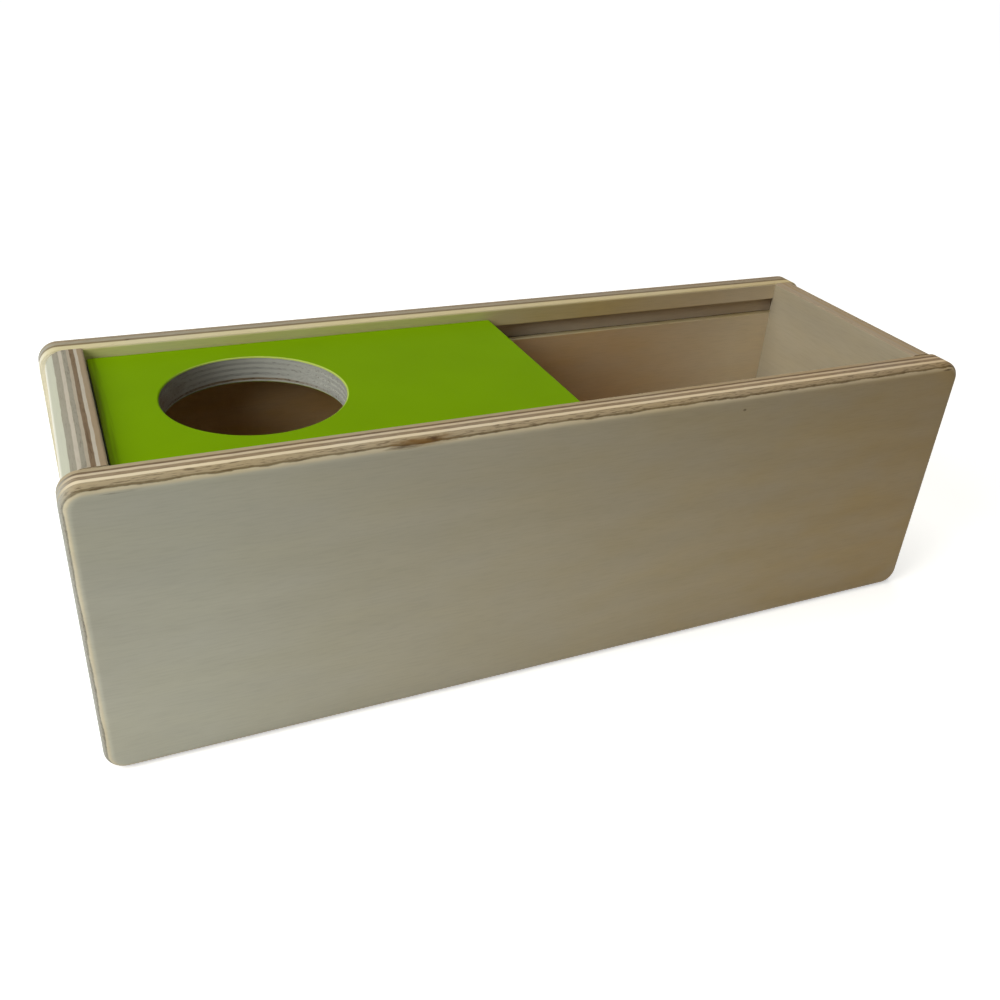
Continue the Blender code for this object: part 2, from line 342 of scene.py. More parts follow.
class ToyBoxColours(bpy.types.PropertyGroup):
    """Colours of the wood and the paint."""

    veneer: colour("Face veneer", "Face veneer of the long walls, cut across its grain", "#d6d2bf")
    # Painted light: a warm, slightly darker cast towards the right
    painted_warm_light: colour("Drift", "Tint that the wood takes on towards the right", "#f2e6d9")
    face: colour("Long face", "Outer face of the long walls, at the left", "#bebdaf")
    # Painted light: the outer face warmer and darker at the right than at the left
    warm_lit_face: colour("Warm long face", "Outer face of the long walls, at the right", "#b6a786")
    honey: colour("Veneer edge", "Face veneer of the long walls, cut along its grain", "#c7bda4")
    # Painted shade inside the long walls at the left
    amber_painted_shade: colour("Amber inner veneer", "Inside of the long walls, at the left", "#dfc08f")
    inside: colour("Inner veneer", "Inside of the long walls, in the middle", "#dcc6a2")
    # Painted bounce light inside the long walls at the ends
    pale: colour("Pale inner veneer", "Inside of the long walls, at the ends", "#ebe5d0")
    # Painted green reflection of the lid, and painted light, on the inside over the lid
    painted_lid_reflection: colour("Lip", "Inside of the long walls, over the lid", "#ded89f")
    # Paler groove bottom: partly freshly cut wood, partly painted light reaching into the groove
    groove: colour("Groove", "Freshly cut bottom of a groove", "#d6cfc3")
    birch: colour("Short face", "Outer face of the short walls", "#e1dfd6")
    cream: colour("Cream layer", "Palest layer, cut along its grain", "#d5c8b0")
    straw: colour("Straw layer", "Yellowish layer, cut along its grain", "#c6bd9b")
    light: colour("Light layer", "Layer cut along its grain", "#c0b29b")
    ash: colour("Ash layer", "Pale grey layer of the lid", "#bcbfbb")
    slate: colour("Slate layer", "Bluish grey layer cut across its grain", "#a5a8a6")
    sand: colour("Sand layer", "Outer layer of the left wall", "#b0b2a5")
    oat: colour("Oat face", "Inner face of the short walls", "#b8b6a8")
    rosy: colour("Rosy veneer", "Reddish face of the thin floor", "#7d5f45")
    chalk: colour("Chalk layer", "Pale layer of the left wall", "#aca59a")
    smoke: colour("Smoke layer", "Greyish dark layer of the left wall", "#89857a")
    dove: colour("Dove layer", "Greyish pale layer of the short walls", "#a09789")
    tan: colour("Tan layer", "Pale layer cut across its grain", "#a19379")
    brown: colour("Brown layer", "Layer cut across its grain", "#8c7c66")
    grey: colour("Grey layer", "Greyish layer cut across its grain", "#979080")
    dark: colour("Dark layer", "Darkest layer, cut across its grain", "#6d5c48")
    glue: colour("Glue line", "Torn fibres and glue between two layers", "#7a6d54")
    # Used for real stains on the front wall, and as painted shade in the hole
    stain_and_painted_shade: colour("Stain", "Rusty brown stain in the wood", "#6a4a1c")
    scorch: colour("Scorch", "Dark brown marks in the wood", "#3f2c19")
    paint: colour("Green paint", "Satin paint on the lid", "#6b9002")
    # Painted shadow on the lid's left end
    painted_shadow_olive: colour("Dark olive", "Grime on the paint at the lid's left end", "#3c3a06")
    # Worn thin paint with a painted highlight on the rim of the hole
    thin_paint_highlight: colour("Thin paint", "Paint rubbed thin on the rim of the hole", "#a8b95c")
    beech: colour("Beech", "Turned beech of the pegs", "#c99f74")
    beech_ray: colour("Beech ray", "Darker flecks in the beech", "#a87b52")


class ToyBoxStudio(bpy.types.PropertyGroup):
    """Plain studio that the box stands in."""

    floor_size: length("Floor size", "Width of the studio floor", 12.0)
    mat_colour: colour("Mat colour", "White mat under the box", "#eeeff2")
    floor_colour: colour("Floor colour", "Pale floor round the mat", "#8f8e8b")
    floor_lift: share("Floor lift", "White that the camera sees over the mat", 0.55)
    room_colour: colour("Room colour", "Soft light from all round", "#ffe8d0")
    room_share: share("Room light", "Strength of the light from all round", 0.02)
    window_colour: colour("Window colour", "Daylight from the left", "#fffef5")
    window_power: power("Window power", "Large soft lamp at the left", 11.2)
    ceiling_colour: colour("Ceiling colour", "Light from the ceiling", "#fffcf0")
    ceiling_power: power("Ceiling power", "Large soft lamp over the box", 8.0)
    card_colour: colour("Card colour", "Light thrown back by a white card", "#fffef4")
    card_power: power("Card power", "Small soft lamp near the front left corner", 0.95)


def choose(parts, chosen, what):
    """Select in edit mode the edges or faces that a test picks."""
    picked = [part for part in parts if chosen(part)]
    if not picked:
        raise RuntimeError(f"nothing to shape at the {what}")
    for part in picked:
        part.select_set(True)


def select_edges(piece, chosen):
    """Select just the edges that a test picks."""
    bpy.ops.mesh.select_mode(type="EDGE")
    bpy.ops.mesh.select_all(action="DESELECT")
    choose(bmesh.from_edit_mesh(piece.data).edges, chosen, f"edges of {piece.name}")
    bmesh.update_edit_mesh(piece.data)


def select_faces(piece, chosen):
    """Select just the faces that a test picks."""
    bpy.ops.mesh.select_mode(type="FACE")
    bpy.ops.mesh.select_all(action="DESELECT")
    choose(bmesh.from_edit_mesh(piece.data).faces, chosen, f"faces of {piece.name}")
    bmesh.update_edit_mesh(piece.data)


def edge_at(edge, axis, value):
    """Tell whether an edge lies in the plane where a coordinate has a value."""
    return all(abs(getattr(vertex.co, axis) - value) < SAME_PLACE for vertex in edge.verts)


def edge_along(edge, axis):
    """Tell whether an edge runs along an axis."""
    span = edge.verts[1].co - edge.verts[0].co
    return abs(abs(getattr(span, axis)) - span.length) < SAME_PLACE


def make_active(piece):
    """Select one object alone and make it the active one."""
    bpy.ops.object.select_all(action="DESELECT")
    piece.select_set(True)
    bpy.context.view_layer.objects.active = piece


def add_block(name, low, high):
    """Add a cube and give it the place and size of a block."""
    bpy.ops.object.select_all(action="DESELECT")
    bpy.ops.mesh.primitive_cube_add(size=1.0, location=(low + high) / 2)
    block = bpy.context.object
    block.name = name
    block.data.name = name
    block.scale = high - low
    bpy.ops.object.transform_apply(location=True, rotation=True, scale=True)
    return block


def round_edges(piece, chosen, radius, steps):
    """Round the edges that a test picks."""
    bpy.ops.object.mode_set(mode="EDIT")
    select_edges(piece, chosen)
    bpy.ops.mesh.bevel(
        offset=radius, offset_type="OFFSET", segments=steps, profile=0.5, affect="EDGES",
        clamp_overlap=True)
    bpy.ops.object.mode_set(mode="OBJECT")


def cut_away(piece, cutter):
    """Cut a piece with another object, which is then thrown away."""
    make_active(piece)
    modifier = piece.modifiers.new("cut", "BOOLEAN")
    modifier.operation = "DIFFERENCE"
    modifier.solver = "EXACT"
    modifier.object = cutter
    bpy.ops.object.modifier_apply(modifier=modifier.name)
    bpy.data.objects.remove(cutter, do_unlink=True)


def drill(piece, place, radius, depth, sides, turn):
    """Drill a round hole through a piece."""
    bpy.ops.object.select_all(action="DESELECT")
    bpy.ops.mesh.primitive_cylinder_add(
        vertices=sides, radius=radius, depth=depth, location=place, rotation=turn)
    cut_away(piece, bpy.context.object)


def drill_peg_holes(piece, sizes, keyword):
    """Drill a wall for each peg that its name calls for."""
    for name in PEGS:
        if keyword not in name:
            continue
        low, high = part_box(name)
        radius = (high.x - low.x) / 2 + sizes.glue_gap
        depth = high.y - low.y + 2 * sizes.glue_gap
        drill(piece, (low + high) / 2, radius, depth, PEG_HOLE_SIDES, LAY_ALONG_Y)


def cut_floor_groove(piece, sizes):
    """Cut the groove that houses the floor."""
    gap = Vector((sizes.glue_gap,) * 3)
    cut_away(piece, add_block("floor groove", FLOOR_LOW - gap, FLOOR_HIGH + gap))


def finish_board(piece, body, node, material):
    """Shade a finished board, give it its finish and set it on its body."""
    make_active(piece)
    bpy.ops.object.shade_smooth_by_angle(angle=SMOOTH_ANGLE)
    modifier = piece.modifiers.new("flat faces stay flat", "WEIGHTED_NORMAL")
    modifier.keep_sharp = True
    bpy.ops.object.modifier_apply(modifier=modifier.name)
    piece.data.materials.clear()
    piece.data.materials.append(material)
    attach(piece, body)
    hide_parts(node)


def fill_inputs(tree, node, inputs):
    """Link or set a node's inputs. A colour is given without its alpha."""
    for key, value in inputs.items():
        socket = node.inputs[key]
        if isinstance(value, bpy.types.NodeSocket):
            tree.links.new(value, socket)
        elif socket.type == "RGBA":
            socket.default_value = (*value, 1.0)
        else:
            socket.default_value = value


def add_node(tree, kind, inputs=None, **settings):
    """Add one shader node, set it up, and fill or link its inputs."""
    node = tree.nodes.new(kind)
    for key, value in settings.items():
        setattr(node, key, value)
    fill_inputs(tree, node, inputs or {})
    return node


def new_material(name):
    """Start a material and return it with its node tree and its shader."""
    material = bpy.data.materials.new(name)
    material.use_nodes = True
    return material, material.node_tree, material.node_tree.nodes["Principled BSDF"]


def board_space(tree, grain, depth, outer):
    """Give a board's own mm: along its face grain, across it, and in from its outer face."""
    turn = Matrix((grain, depth.cross(grain), depth))
    return add_node(
        tree, "ShaderNodeMapping",
        {
            "Vector": add_node(tree, "ShaderNodeTexCoord").outputs["Object"],
            "Location": turn @ (outer * -MM_PER_M),
            "Rotation": turn.to_euler(),
            "Scale": (MM_PER_M,) * 3,
        }).outputs["Vector"]


def streaks(tree, board, size_mm, detail):
    """Give noise whose streaks have a size in mm along, across and through the board."""
    scaled = add_node(
        tree, "ShaderNodeVectorMath", {0: board, 1: [1 / side for side in size_mm]},
        operation="MULTIPLY")
    return add_node(
        tree, "ShaderNodeTexNoise",
        {"Vector": scaled.outputs[0], "Scale": 1.0, "Detail": detail}).outputs["Fac"]


def set_stops(ramp, stops):
    """Give a colour ramp its stops: a place from 0 to 1, and a colour with its alpha."""
    elements = ramp.color_ramp.elements
    while len(elements) < len(stops):
        elements.new(1.0)
    for element, (place, tone) in zip(elements, stops):
        element.position = place
        element.color = tone


def thickness_mm(layers):
    """Add up the layers of a board."""
    return sum(layer[0] for layer in layers)


def layer_place(tree, board, thickness):
    """Give a point's place between the two faces, from 0 to 1, with wavy and frayed layers."""
    deep = add_node(tree, "ShaderNodeSeparateXYZ", {0: board}).outputs["Z"]
    waved = add_node(
        tree, "ShaderNodeMath",
        {0: streaks(tree, board, WAVE_SIZE_MM, detail=2), 1: 2 * WAVE_MM, 2: deep},
        operation="MULTIPLY_ADD")
    rag = add_node(
        tree, "ShaderNodeMath", {0: streaks(tree, board, RAG_SIZE_MM, detail=5), 1: 0.5},
        operation="SUBTRACT")
    rag_height = add_node(
        tree, "ShaderNodeMapRange",
        {
            0: deep, FROM_LOW: TORN_FROM_MM, FROM_HIGH: TORN_TO_MM,
            TO_LOW: 2 * TORN_MM, TO_HIGH: 2 * RAG_MM,
        })
    ragged = add_node(
        tree, "ShaderNodeMath", {0: rag.outputs[0], 1: rag_height.outputs[0], 2: waved.outputs[0]},
        operation="MULTIPLY_ADD")
    return add_node(
        tree, "ShaderNodeMapRange",
        {0: ragged.outputs[0], FROM_LOW: WAVE_MM, FROM_HIGH: thickness + WAVE_MM}).outputs[0]


def layer_ramp(tree, place, layers, cut, colours):
    """Colour a place between the two faces by its layer. Alpha tells how open the grain is."""
    node = add_node(tree, "ShaderNodeValToRGB", {"Fac": place})
    thickness = thickness_mm(layers)
    stops = []
    top = 0.0
    for thick, *looks in layers:
        bottom = top + thick
        tone = (*getattr(colours, looks[cut]), looks[OPEN_GRAIN + cut])
        stops.append(((top + LAYER_BLUR_MM) / thickness, tone))
        stops.append(((bottom - LAYER_BLUR_MM) / thickness, tone))
        top = bottom
    set_stops(node, stops)
    return node


def edge_look(tree, board, grain, normal, layers, colours):
    """Stripe an edge by its layers, and tell how open its grain is.

    A layer shows one tone where it is cut along the face grain and another where it is cut
    across, so the stripes change where the edge turns a corner.
    """
    place = layer_place(tree, board, thickness_mm(layers))
    along = layer_ramp(tree, place, layers, ALONG, colours)
    across = layer_ramp(tree, place, layers, ACROSS, colours)
    facing = add_node(
        tree, "ShaderNodeVectorMath", {0: normal, 1: grain},
        operation="DOT_PRODUCT").outputs["Value"]
    turned = add_node(
        tree, "ShaderNodeMath", {0: facing, 1: facing}, operation="MULTIPLY").outputs[0]
    tone = add_node(
        tree, "ShaderNodeMix",
        {MIX_FACTOR: turned, MIX_A: along.outputs["Color"], MIX_B: across.outputs["Color"]},
        data_type="RGBA")
    open_grain = add_node(
        tree, "ShaderNodeMapRange",
        {0: turned, TO_LOW: along.outputs["Alpha"], TO_HIGH: across.outputs["Alpha"]})
    return tone.outputs[MIX_RESULT], open_grain.outputs[0]


def outer_face(tree, in_box, painted_warm_light, depth, left, right):
    """Colour an outer face from left to right, with painted light from cool to warm. A long wall
    is painted paler below and deeper above, as painted bounce light from the floor.
    """
    tone = add_node(
        tree, "ShaderNodeMix", {MIX_FACTOR: painted_warm_light, MIX_A: left, MIX_B: right}, data_type="RGBA")
    on_long_wall = abs(depth.y)
    # Painted bounce light from the floor below, painted shade above, on the long walls only
    painted_floor_bounce = add_node(
        tree, "ShaderNodeMapRange",
        {
            0: in_box["Z"], FROM_LOW: BOUNCE_BELOW_Z, FROM_HIGH: SHADE_ABOVE_Z,
            TO_LOW: 1.0 + PAINTED_BOUNCE_GAIN * on_long_wall, TO_HIGH: 1.0 - PAINTED_SHADE_LOSS * on_long_wall,
        })
    return add_node(
        tree, "ShaderNodeHueSaturation",
        {"Color": tone.outputs[MIX_RESULT], "Value": painted_floor_bounce.outputs[0]}).outputs[0]


def inner_face(tree, board, in_box, thickness, tones, groove):
    """Colour an inner face along the box, with painted shade at the left and painted bounce light
    at the ends, a painted green reflection of the lid over the lid, and the bottom of its grooves.
    """
    # left is painted shade, end is painted bounce light, over is the painted reflection of the lid
    left, middle, end, over = tones
    first_x = INNER_STOPS_X[0]
    last_x = INNER_STOPS_X[-1]
    rightward = add_node(
        tree, "ShaderNodeMapRange", {0: in_box["X"], FROM_LOW: first_x, FROM_HIGH: last_x})
    ramp = add_node(tree, "ShaderNodeValToRGB", {"Fac": rightward.outputs[0]})
    # Painted shade and bounce light along the inside, and the share of the painted reflection
    set_stops(ramp, [
        ((x - first_x) / (last_x - first_x), (*tone, reflection_share))
        for x, tone, reflection_share
        in zip(INNER_STOPS_X, (end, left, left, middle, end), LID_REFLECTION_SHARES)])
    high = add_node(
        tree, "ShaderNodeMath", {0: in_box["Z"], 1: LID_LOW.z}, operation="GREATER_THAN")
    reflection_cover = add_node(
        tree, "ShaderNodeMath", {0: high.outputs[0], 1: ramp.outputs["Alpha"]},
        operation="MULTIPLY")
    tone = add_node(
        tree, "ShaderNodeMix",
        {MIX_FACTOR: reflection_cover.outputs[0], MIX_A: ramp.outputs["Color"], MIX_B: over},
        data_type="RGBA")
    deep = add_node(tree, "ShaderNodeSeparateXYZ", {0: board}).outputs["Z"]
    # Groove bottom in its paler tone, partly painted light
    in_groove = add_node(
        tree, "ShaderNodeMath", {0: deep, 1: thickness - GROOVE_MM}, operation="LESS_THAN")
    return add_node(
        tree, "ShaderNodeMix",
        {MIX_FACTOR: in_groove.outputs[0], MIX_A: tone.outputs[MIX_RESULT], MIX_B: groove},
        data_type="RGBA").outputs[MIX_RESULT]


def plywood_colour(tree, board, grain, depth, layers, faces, colours):
    """Colour a block of plywood right through, and tell how open its grain is.

    It is birch veneers glued crosswise and sanded flush: plain faces, and striped edges. Painted
    light drifts from cool to warm and a little darker towards the right end of the box.
    """
    normal = add_node(tree, "ShaderNodeNewGeometry").outputs["Normal"]
    in_box = add_node(
        tree, "ShaderNodeSeparateXYZ",
        {0: add_node(tree, "ShaderNodeTexCoord").outputs["Object"]}).outputs
    # Share of the painted warm light, from nothing at the left to full at the right
    painted_warm_light = add_node(
        tree, "ShaderNodeMapRange",
        {0: in_box["X"], FROM_LOW: WARM_LIGHT_FROM_X, FROM_HIGH: WARM_LIGHT_TO_X}).outputs[0]
    outer_left, outer_right, *inner_tones = [getattr(colours, face) for face in faces]
    flat = add_node(
        tree, "ShaderNodeVectorMath", {0: normal, 1: depth},
        operation="DOT_PRODUCT").outputs["Value"]
    inward = add_node(tree, "ShaderNodeMath", {0: flat, 1: 0.0}, operation="GREATER_THAN")
    face_tone = add_node(
        tree, "ShaderNodeMix",
        {
            MIX_FACTOR: inward.outputs[0],
            MIX_A: outer_face(tree, in_box, painted_warm_light, depth, outer_left, outer_right),
            MIX_B: inner_face(
                tree, board, in_box, thickness_mm(layers), inner_tones, colours.groove),
        }, data_type="RGBA")
    edge_tone, edge_grain = edge_look(tree, board, grain, normal, layers, colours)
    flatness = add_node(tree, "ShaderNodeMath", {0: flat}, operation="ABSOLUTE")
    on_face = add_node(
        tree, "ShaderNodeMapRange",
        {0: flatness.outputs[0], FROM_LOW: EDGE_BELOW, FROM_HIGH: FACE_ABOVE}).outputs[0]
    tone = add_node(
        tree, "ShaderNodeMix",
        {MIX_FACTOR: on_face, MIX_A: edge_tone, MIX_B: face_tone.outputs[MIX_RESULT]},
        data_type="RGBA")
    # Painted warm light: the colour turns warmer and darker towards the right
    painted_warm_lit = add_node(
        tree, "ShaderNodeMix",
        {MIX_FACTOR: painted_warm_light, MIX_A: tone.outputs[MIX_RESULT], MIX_B: colours.painted_warm_light},
        data_type="RGBA", blend_type="MULTIPLY")
    open_grain = add_node(
        tree, "ShaderNodeMapRange", {0: on_face, TO_LOW: edge_grain, TO_HIGH: 0.0})
    return painted_warm_lit.outputs[MIX_RESULT], open_grain.outputs[0]


def wood_grain(tree, board, tone, open_grain, fleck_tone):
    """Lay the wood's own figure over its colour, and give the fine fibre for its relief."""
    figure = streaks(tree, board, FIGURE_MM, detail=3)
    cloud = streaks(tree, board, CLOUD_MM, detail=2)
    fibre = streaks(tree, board, FIBRE_MM, detail=4)
    fleck = streaks(tree, board, FLECK_MM, detail=3)
    figure_shade = add_node(
        tree, "ShaderNodeMapRange", {0: figure, **NOISE_RANGE, TO_LOW: 0.965, TO_HIGH: 1.03})
    fibre_shade = add_node(
        tree, "ShaderNodeMapRange",
        {0: fibre, FROM_LOW: 0.28, FROM_HIGH: 0.55, TO_LOW: 0.945, TO_HIGH: 1.01})
    shade = add_node(
        tree, "ShaderNodeMath", {0: figure_shade.outputs[0], 1: fibre_shade.outputs[0]},
        operation="MULTIPLY")
    depth_of_colour = add_node(
        tree, "ShaderNodeMapRange", {0: cloud, **NOISE_RANGE, TO_LOW: 0.91, TO_HIGH: 1.09})
    shaded = add_node(
        tree, "ShaderNodeHueSaturation",
        {"Color": tone, "Saturation": depth_of_colour.outputs[0], "Value": shade.outputs[0]})
    fleck_spots = add_node(
        tree, "ShaderNodeMapRange", {0: fleck, FROM_LOW: 0.5, FROM_HIGH: 0.66, TO_HIGH: 0.75})
    fleck_cover = add_node(
        tree, "ShaderNodeMath", {0: fleck_spots.outputs[0], 1: open_grain}, operation="MULTIPLY")
    flecked = add_node(
        tree, "ShaderNodeMix",
        {MIX_FACTOR: fleck_cover.outputs[0], MIX_A: shaded.outputs[0], MIX_B: fleck_tone},
        data_type="RGBA")
    return flecked.outputs[MIX_RESULT], fibre


def add_marks(tree, base, marks, colours):
    """Lay marks with ragged edges on a colour."""
    place = add_node(tree, "ShaderNodeTexCoord").outputs["Object"]
    for centre, half_size_mm, tone, strength in marks:
        offset = add_node(
            tree, "ShaderNodeVectorMath", {0: place, 1: centre}, operation="SUBTRACT")
        scaled = add_node(
            tree, "ShaderNodeVectorMath",
            {0: offset.outputs[0], 1: [MM_PER_M / side for side in half_size_mm]},
            operation="MULTIPLY").outputs[0]
        reach = add_node(tree, "ShaderNodeVectorMath", {0: scaled}, operation="LENGTH")
        ragged = streaks(tree, scaled, MARK_RAG_SIZE, detail=3)
        edge = add_node(
            tree, "ShaderNodeMath", {0: ragged, 1: MARK_RAG, 2: reach.outputs["Value"]},
            operation="MULTIPLY_ADD")
        cover = add_node(
            tree, "ShaderNodeMapRange",
            {0: edge.outputs[0], FROM_LOW: MARK_ENDS, FROM_HIGH: MARK_FULL, TO_HIGH: strength})
        base = add_node(
            tree, "ShaderNodeMix",
            {MIX_FACTOR: cover.outputs[0], MIX_A: base, MIX_B: getattr(colours, tone)},
            data_type="RGBA").outputs[MIX_RESULT]
    return base


def birch_plywood(name, grain, depth, outer, layers, faces, colours, marks=()):
    """Sanded birch plywood under a thin clear satin coat.

    It gives the eye pale, faintly streaked faces, and edges striped by layers cut along and
    across their grain, with torn dark fibre where the rounding leaves the face veneer.
    """
    material, tree, shader = new_material(name)
    board = board_space(tree, grain, depth, outer)
    tone, open_grain = plywood_colour(tree, board, grain, depth, layers, faces, colours)
    wood, fibre = wood_grain(tree, board, tone, open_grain, colours.scorch)
    roughness = add_node(
        tree, "ShaderNodeMapRange", {0: fibre, **NOISE_RANGE, TO_LOW: 0.55, TO_HIGH: 0.68})
    relief = add_node(
        tree, "ShaderNodeBump", {"Height": fibre, "Strength": 0.25, "Distance": 0.00006})
    fill_inputs(tree, shader, {
        "Base Color": add_marks(tree, wood, marks, colours),
        "Roughness": roughness.outputs[0],
        "Specular IOR Level": 0.12,
        "Normal": relief.outputs[0],
    })
    return material


def paint_cover(tree, board, thickness):
    """Tell where paint covers the wood: on both faces, down to a chipped line on the edges."""
    deep = add_node(tree, "ShaderNodeSeparateXYZ", {0: board}).outputs["Z"]
    from_middle = add_node(
        tree, "ShaderNodeMath", {0: deep, 1: thickness / 2}, operation="SUBTRACT")
    to_face = add_node(tree, "ShaderNodeMath", {0: from_middle.outputs[0]}, operation="ABSOLUTE")
    chipped = add_node(
        tree, "ShaderNodeMath",
        {0: streaks(tree, board, CHIP_MM, detail=3), 1: CHIP_DEPTH_MM, 2: to_face.outputs[0]},
        operation="MULTIPLY_ADD")
    line = thickness / 2 - PAINT_DEPTH_MM
    return add_node(
        tree, "ShaderNodeMapRange",
        {0: chipped.outputs[0], FROM_LOW: line, FROM_HIGH: line + PAINT_FADE_MM}).outputs[0]


def green_paint(tree, board, hole_mm, hole_radius_mm, colours):
    """Give the paint's colour, faintly clouded, and rubbed thin with a painted highlight on one
    side of the hole's rim.
    """
    cloud = streaks(tree, board, PAINT_CLOUD_MM, detail=3)
    cloud_shade = add_node(
        tree, "ShaderNodeMapRange", {0: cloud, **NOISE_RANGE, TO_LOW: 0.97, TO_HIGH: 1.03})
    paint = add_node(
        tree, "ShaderNodeHueSaturation",
        {"Color": colours.paint, "Value": cloud_shade.outputs[0]})
    from_hole = add_node(
        tree, "ShaderNodeVectorMath", {0: board, 1: (*hole_mm, 0.0)}, operation="SUBTRACT")
    level = add_node(
        tree, "ShaderNodeVectorMath", {0: from_hole.outputs[0], 1: (1.0, 1.0, 0.0)},
        operation="MULTIPLY")
    reach = add_node(tree, "ShaderNodeVectorMath", {0: level.outputs[0]}, operation="LENGTH")
    rim = add_node(
        tree, "ShaderNodeMapRange",
        {
            0: reach.outputs["Value"],
            FROM_LOW: hole_radius_mm + WORN_ENDS_MM, FROM_HIGH: hole_radius_mm + WORN_FULL_MM,
        })
    # Painted highlight on the worn rim, on the side that catches the light
    towards = add_node(
        tree, "ShaderNodeVectorMath", {0: level.outputs[0], 1: WORN_LIT_SIDE},
        operation="DOT_PRODUCT")
    rubbed = add_node(
        tree, "ShaderNodeMapRange",
        {
            0: towards.outputs["Value"],
            FROM_LOW: -hole_radius_mm / 2, FROM_HIGH: hole_radius_mm / 2,
        })
    worn = add_node(
        tree, "ShaderNodeMath", {0: rim.outputs[0], 1: rubbed.outputs[0]}, operation="MULTIPLY")
    return add_node(
        tree, "ShaderNodeMix",
        {MIX_FACTOR: worn.outputs[0], MIX_A: paint.outputs[0], MIX_B: colours.thin_paint_highlight},
        data_type="RGBA").outputs[MIX_RESULT]


def painted_plywood(name, grain, depth, outer, layers, faces, hole_mm, hole_radius_mm, colours):
    """Plywood rolled with satin green paint on both faces, then cut and drilled.

    It gives the eye an even lime green with a faint roller texture, a painted shadow at the left
    end, a painted highlight on worn paint at the rim of the hole, and bare grey layers on the cut
    edges, with painted shade in the hole.
    """
    material, tree, shader = new_material(name)
    board = board_space(tree, grain, depth, outer)
    tone, open_grain = plywood_colour(tree, board, grain, depth, layers, faces, colours)
    grained, fibre = wood_grain(tree, board, tone, open_grain, colours.scorch)
    # Painted shade with brown reflected light in the hole
    wood = add_marks(tree, grained, HOLE_PAINTED_SHADE, colours)
    paint = green_paint(tree, board, hole_mm, hole_radius_mm, colours)
    # Painted shadow at the lid's left end
    paint_with_shadow = add_marks(tree, paint, LID_PAINTED_SHADOW, colours)
    covered = paint_cover(tree, board, thickness_mm(layers))
    base = add_node(
        tree, "ShaderNodeMix", {MIX_FACTOR: covered, MIX_A: wood, MIX_B: paint_with_shadow}, data_type="RGBA")
    roller = streaks(tree, board, ROLLER_MM, detail=2)
    height = add_node(
        tree, "ShaderNodeMix", {MIX_FACTOR: covered, MIX_LOW: fibre, MIX_HIGH: roller},
        data_type="FLOAT")
    relief = add_node(
        tree, "ShaderNodeBump",
        {"Height": height.outputs[0], "Strength": 0.2, "Distance": 0.00006})
    roughness = add_node(tree, "ShaderNodeMapRange", {0: covered, TO_LOW: 0.7, TO_HIGH: 0.5})
    fill_inputs(tree, shader, {
        "Base Color": base.outputs[MIX_RESULT],
        "Roughness": roughness.outputs[0],
        "Specular IOR Level": 0.01,
        "Normal": relief.outputs[0],
    })
    return material


def turned_beech(name, colours):
    """Turned beech dowel: pinkish tan with short dark ray flecks along the rod."""
    material, tree, shader = new_material(name)
    board = board_space(tree, AXES["y"], AXES["z"], Vector((0, 0, 0)))
    ray = streaks(tree, board, RAY_MM, detail=3)
    ray_cover = add_node(
        tree, "ShaderNodeMapRange", {0: ray, FROM_LOW: 0.45, FROM_HIGH: 0.7, TO_HIGH: 0.9})
    base = add_node(
        tree, "ShaderNodeMix",
        {MIX_FACTOR: ray_cover.outputs[0], MIX_A: colours.beech, MIX_B: colours.beech_ray},
        data_type="RGBA")
    relief = add_node(
        tree, "ShaderNodeBump", {"Height": ray, "Strength": 0.3, "Distance": 0.00005})
    fill_inputs(tree, shader, {
        "Base Color": base.outputs[MIX_RESULT],
        "Roughness": 0.7,
        "Normal": relief.outputs[0],
    })
    return material


def shows_backdrop(tree):
    """Tell whether a ray comes from the camera, or by way of a mirroring or clear surface."""
    path = add_node(tree, "ShaderNodeLightPath").outputs
    seen = add_node(
        tree, "ShaderNodeMath", {0: path["Is Camera Ray"], 1: path["Is Glossy Ray"]},
        operation="MAXIMUM")
    return add_node(
        tree, "ShaderNodeMath", {0: seen.outputs[0], 1: path["Is Transmission Ray"]},
        operation="MAXIMUM").outputs[0]


def studio_floor(name, studio):
    """Matt pale floor that a camera sees as white, apart from the box's own soft shadow."""
    material, tree, shader = new_material(name)
    tree.nodes.remove(shader)
    output = tree.nodes["Material Output"]
    place = add_node(tree, "ShaderNodeTexCoord").outputs["Object"]
    far = add_node(tree, "ShaderNodeVectorMath", {0: place}, operation="LENGTH")
    away = add_node(
        tree, "ShaderNodeMapRange",
        {0: far.outputs["Value"], FROM_LOW: MAT_FADES_FROM, FROM_HIGH: MAT_FADES_TO}).outputs[0]
    pale = add_node(
        tree, "ShaderNodeMix",
        {MIX_FACTOR: away, MIX_A: studio.mat_colour, MIX_B: studio.floor_colour},
        data_type="RGBA")
    matt = add_node(tree, "ShaderNodeBsdfDiffuse", {"Color": pale.outputs[MIX_RESULT]})
    lift = add_node(
        tree, "ShaderNodeMapRange", {0: away, TO_LOW: studio.floor_lift, TO_HIGH: 1.0})
    seen = add_node(
        tree, "ShaderNodeMath", {0: shows_backdrop(tree), 1: lift.outputs[0]},
        operation="MULTIPLY")
    glow = add_node(
        tree, "ShaderNodeEmission", {"Color": WHITE, "Strength": seen.outputs[0]})
    both = add_node(tree, "ShaderNodeAddShader", {0: matt.outputs[0], 1: glow.outputs[0]})
    tree.links.new(both.outputs[0], output.inputs["Surface"])
    return material


